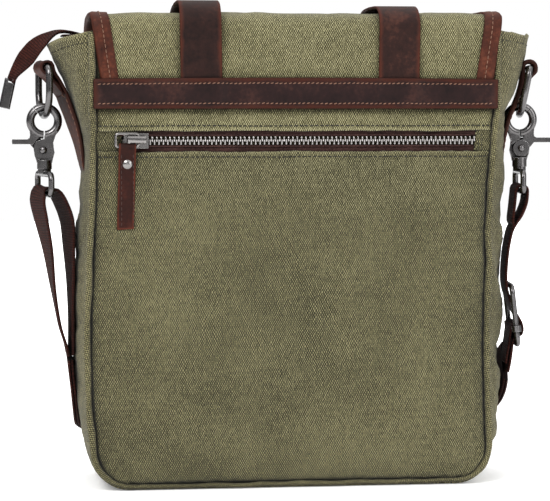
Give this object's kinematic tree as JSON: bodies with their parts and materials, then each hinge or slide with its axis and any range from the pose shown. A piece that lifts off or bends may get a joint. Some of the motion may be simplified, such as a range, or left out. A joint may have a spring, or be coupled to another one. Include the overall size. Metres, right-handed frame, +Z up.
{
  "type": "messenger bag",
  "caption": "Upright canvas and leather messenger bag with a thrown-over buckled flap, zipped back pocket, zipped top and a clip-on webbing shoulder strap.",
  "frame": {"origin": "on the floor, at the middle of the base", "axes": "+Z up; -Y is the outward side of the zipped back panel; +Y is the side the flap falls over; +X runs to the right when the back panel faces the viewer"},
  "size_m": [0.3752, 0.1229, 0.3217],
  "materials": {
    "canvas": "washed green cotton canvas",
    "lining": "plain cotton lining",
    "tape": "woven zip tape",
    "webbing": "ribbed cotton webbing",
    "leather": "waxed leather with reddish cut edges",
    "edge_leather": "folded waxed leather binding",
    "metal": "antique gunmetal plate",
    "zip_metal": "antique nickel zip metal"
  },
  "bodies": {
    "bag": {"back_panel_lower": "canvas", "back_panel_upper": "canvas", "back_zip_tapes": "tape", "back_zip_teeth": "zip_metal", "back_pocket_bag": "lining", "back_band": "leather", "flap_rear": "canvas", "flap_binding_rear": "edge_leather", "closure_straps_rear": "leather", "gusset_left": "canvas", "gusset_right": "canvas", "base_panel": "canvas", "front_panel": "canvas", "front_pocket": "canvas", "seam_welts": "canvas", "lining": "lining", "base_board": "lining", "tablet_sleeve": "lining", "inner_organizer": "lining", "top_closure_panels": "canvas", "top_zip_tapes": "tape", "top_zip_teeth": "zip_metal", "side_tabs": "leather", "snap_sockets": "metal", "strap_lower": "webbing"},
    "tail": {"zip_tail": "tape", "tail_ferrule": "zip_metal"},
    "flap_over": {"flap_top": "canvas", "flap_binding_top": "edge_leather", "closure_straps_top": "leather"},
    "flap_face": {"flap_front": "canvas", "flap_binding_front": "edge_leather", "closure_straps_front": "leather", "buckle_frames": "metal", "buckle_chapes": "leather", "buckle_keepers": "leather", "snap_studs": "metal"},
    "prong_l": {"prong_left": "metal"},
    "prong_r": {"prong_right": "metal"},
    "back_slider": {"back_zip_slider": "zip_metal"},
    "back_link": {"back_pull_link": "zip_metal"},
    "back_pull": {"back_pull_leather": "leather", "back_pull_rivet": "metal"},
    "top_slider": {"top_zip_slider": "zip_metal"},
    "top_pull": {"top_zip_pull": "zip_metal"},
    "dee_l": {"ring_left": "metal"},
    "dee_r": {"ring_right": "metal"},
    "sling_l": {"swivel_left": "metal", "strap_left": "webbing"},
    "clip_l": {"hook_left": "metal", "trigger_pin_left": "metal"},
    "gate_l": {"trigger_left": "metal"},
    "sling_r": {"swivel_right": "metal", "strap_right": "webbing", "adjuster_bar": "metal"},
    "clip_r": {"hook_right": "metal", "trigger_pin_right": "metal"},
    "gate_r": {"trigger_right": "metal"},
    "adjuster": {"adjuster_frame": "metal"}
  },
  "joints": [
    {"name": "flap_lift", "type": "hinge", "parent": "bag", "child": "flap_over", "pos_m": [0, -0.042, 0.314], "axis": [1, 0, 0], "range_deg": [0, 228]},
    {"name": "flap_unfold", "type": "hinge", "parent": "flap_over", "child": "flap_face", "pos_m": [0, 0.047, 0.307], "axis": [1, 0, 0], "range_deg": [0, 92]},
    {"name": "prong_left_lift", "type": "hinge", "parent": "flap_face", "child": "prong_l", "pos_m": [-0.0635, 0.0586, 0.077], "axis": [-1, 0, 0], "range_deg": [0, 40]},
    {"name": "prong_right_lift", "type": "hinge", "parent": "flap_face", "child": "prong_r", "pos_m": [0.0665, 0.0586, 0.077], "axis": [-1, 0, 0], "range_deg": [0, 40]},
    {"name": "back_zip_travel", "type": "slide", "parent": "bag", "child": "back_slider", "axis": [1, 0, 0], "range_m": [0, 0.21]},
    {"name": "back_link_lift", "type": "hinge", "parent": "back_slider", "child": "back_link", "pos_m": [-0.104, -0.0437, 0.2266], "axis": [0, 0, 1], "range_deg": [0, 50]},
    {"name": "back_pull_lift", "type": "hinge", "parent": "back_link", "child": "back_pull", "pos_m": [-0.1115, -0.0437, 0.2266], "axis": [-1, 0, 0], "range_deg": [0, 80]},
    {"name": "top_zip_travel", "type": "slide", "parent": "bag", "child": "top_slider", "axis": [1, 0, 0], "range_m": [0, 0.235]},
    {"name": "top_pull_lift", "type": "hinge", "parent": "top_slider", "child": "top_pull", "pos_m": [-0.114, 0, 0.30405], "axis": [0, -1, 0], "range_deg": [0, 12]},
    {"name": "zip_tail_bend", "type": "hinge", "parent": "bag", "child": "tail", "pos_m": [-0.152, 0, 0.2992], "axis": [0, 1, 0], "range_deg": [-3, 40], "stiffness_Nm_per_rad": 0.02},
    {"name": "ring_left_swing", "type": "hinge", "parent": "bag", "child": "dee_l", "pos_m": [-0.1637, 0, 0.2785], "axis": [-0.1736, 0.9848, 0], "range_deg": [0, 20]},
    {"name": "sling_left_travel", "type": "slide", "parent": "bag", "child": "sling_l", "axis": [-0.9848, 0, 0.1736], "range_m": [0, 0.0125], "stiffness_N_per_m": 20},
    {"name": "clip_left_swivel", "type": "hinge", "parent": "sling_l", "child": "clip_l", "pos_m": [-0.1637, 0, 0.2432], "axis": [0, 0, 1], "range_deg": [-30, 30]},
    {"name": "gate_left_open", "type": "hinge", "parent": "clip_l", "child": "gate_l", "pos_m": [-0.1644, 0, 0.2238], "axis": [0, 1, 0], "range_deg": [-25, 0], "stiffness_Nm_per_rad": 0.02},
    {"name": "ring_right_swing", "type": "hinge", "parent": "bag", "child": "dee_r", "pos_m": [0.166, 0, 0.2785], "axis": [-0.1736, -0.9848, 0], "range_deg": [0, 20]},
    {"name": "sling_right_travel", "type": "slide", "parent": "bag", "child": "sling_r", "axis": [0.9999, 0, -0.014], "range_m": [0, 0.0125], "stiffness_N_per_m": 60},
    {"name": "clip_right_swivel", "type": "hinge", "parent": "sling_r", "child": "clip_r", "pos_m": [0.16002, 0, 0.24377], "axis": [0, 0, 1], "range_deg": [-30, 30]},
    {"name": "gate_right_open", "type": "hinge", "parent": "clip_r", "child": "gate_r", "pos_m": [0.16072, 0, 0.22437], "axis": [0, -1, 0], "range_deg": [-25, 0], "stiffness_Nm_per_rad": 0.02},
    {"name": "adjuster_travel", "type": "slide", "parent": "sling_r", "child": "adjuster", "axis": [-0.1126, 0.0118, 0.9936], "range_m": [-0.003, 0.001], "stiffness_N_per_m": 100}
  ],
  "couplings": [
    {"joint": "flap_unfold", "follows": "flap_lift", "ratio": 0.4},
    {"joint": "sling_left_travel", "follows": "ring_left_swing", "m_per_rad": 0.031738},
    {"joint": "sling_right_travel", "follows": "ring_right_swing", "m_per_rad": 0.031738}
  ]
}
